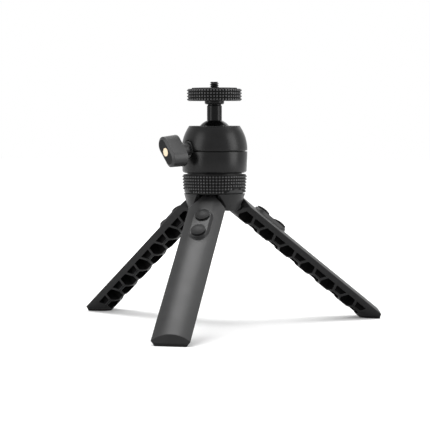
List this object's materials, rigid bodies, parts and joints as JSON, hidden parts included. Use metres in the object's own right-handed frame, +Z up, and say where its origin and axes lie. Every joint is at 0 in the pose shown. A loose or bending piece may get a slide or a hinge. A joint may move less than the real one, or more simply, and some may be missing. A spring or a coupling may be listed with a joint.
{
  "type": "mini tripod",
  "caption": "Table-top tripod with folding trough-shaped legs, a knurled collar and a ball head that carries a camera screw with a knurled lock wheel.",
  "frame": {"origin": "on the floor, below the tripod's axis", "axes": "+Z up along the tripod's axis and the camera screw, -Y towards leg 1, +X between the other two legs' tips"},
  "size_m": [0.2182, 0.189, 0.1665],
  "materials": {
    "leg_plastic": "black glass-filled nylon, fine satin grain",
    "stud_plastic": "black moulded plastic, smooth satin",
    "sole_rubber": "black rubber",
    "pad_rubber": "very dark matt rubber",
    "housing_metal": "satin black powder coat",
    "collar_metal": "matt black knurled",
    "hub_metal": "satin black casting",
    "wheel_metal": "black anodised, knurled",
    "ball_metal": "polished, black plated",
    "stud_steel": "dark plated steel thread",
    "knob_plastic": "black moulded plastic, satin",
    "screw_brass": "plain machined brass",
    "inner_nylon": "natural nylon",
    "spring_steel": "spring steel",
    "pin_steel": "ground steel"
  },
  "bodies": {
    "root": {"hub": "hub_metal", "knurled_collar": "collar_metal", "head_bolt": "pin_steel", "collar_screws": "pin_steel", "lower_housing": "housing_metal", "upper_housing": "housing_metal", "ball_cup": "inner_nylon", "cup_spring": "spring_steel", "lock_bush": "screw_brass", "hinge_pin_1": "pin_steel", "hinge_pin_2": "pin_steel", "hinge_pin_3": "pin_steel"},
    "seat": {"ball_seat_ring": "inner_nylon"},
    "ball": {"ball_stem": "ball_metal", "camera_stud": "stud_steel"},
    "pad": {"camera_pad": "pad_rubber"},
    "wheel": {"lock_wheel": "wheel_metal"},
    "shoe": {"friction_shoe": "inner_nylon"},
    "knob": {"lock_knob": "knob_plastic", "lock_screw": "screw_brass"},
    "leg_1": {"leg_1": "leg_plastic", "foot_pad_1": "sole_rubber", "hinge_washers_1": "inner_nylon", "keeper_studs_1": "stud_plastic"},
    "leg_2": {"leg_2": "leg_plastic", "foot_pad_2": "sole_rubber", "hinge_washers_2": "inner_nylon", "keeper_studs_2": "stud_plastic"},
    "leg_3": {"leg_3": "leg_plastic", "foot_pad_3": "sole_rubber", "hinge_washers_3": "inner_nylon", "keeper_studs_3": "stud_plastic"}
  },
  "joints": [
    {"name": "ball_pan", "type": "hinge", "parent": "root", "child": "seat", "pos_m": [0, 0, 0.12813], "axis": [0, 0, 1], "continuous": true},
    {"name": "ball_tilt", "type": "hinge", "parent": "seat", "child": "ball", "pos_m": [0, 0, 0.12813], "axis": [1, 0, 0], "range_deg": [-28, 28]},
    {"name": "pad_rise", "type": "slide", "parent": "ball", "child": "pad", "axis": [0, 0, 1], "range_m": [0, 0.0021]},
    {"name": "wheel_turn", "type": "hinge", "parent": "pad", "child": "wheel", "pos_m": [0, 0, 0.15843], "axis": [0, 0, 1], "range_deg": [0, 567]},
    {"name": "shoe_slide", "type": "slide", "parent": "root", "child": "shoe", "axis": [-0.6705, -0.7368, -0.0872], "range_m": [0, 0.0008]},
    {"name": "knob_turn", "type": "hinge", "parent": "shoe", "child": "knob", "pos_m": [0, 0, 0.12236], "axis": [-0.6705, -0.7368, -0.0872], "range_deg": [0, 270]},
    {"name": "leg_1_fold", "type": "hinge", "parent": "root", "child": "leg_1", "pos_m": [0, -0.0135, 0.08183], "axis": [-1, 0, 0], "range_deg": [-51.3, 0]},
    {"name": "leg_2_fold", "type": "hinge", "parent": "root", "child": "leg_2", "pos_m": [0.01169, 0.00675, 0.08183], "axis": [0.5, -0.866, 0], "range_deg": [-51.3, 0]},
    {"name": "leg_3_fold", "type": "hinge", "parent": "root", "child": "leg_3", "pos_m": [-0.01169, 0.00675, 0.08183], "axis": [0.5, 0.866, 0], "range_deg": [-51.3, 0]}
  ],
  "couplings": [
    {"joint": "pad_rise", "follows": "wheel_turn", "m_per_rad": 0.00020213},
    {"joint": "shoe_slide", "follows": "knob_turn", "m_per_rad": 0.00015915}
  ]
}
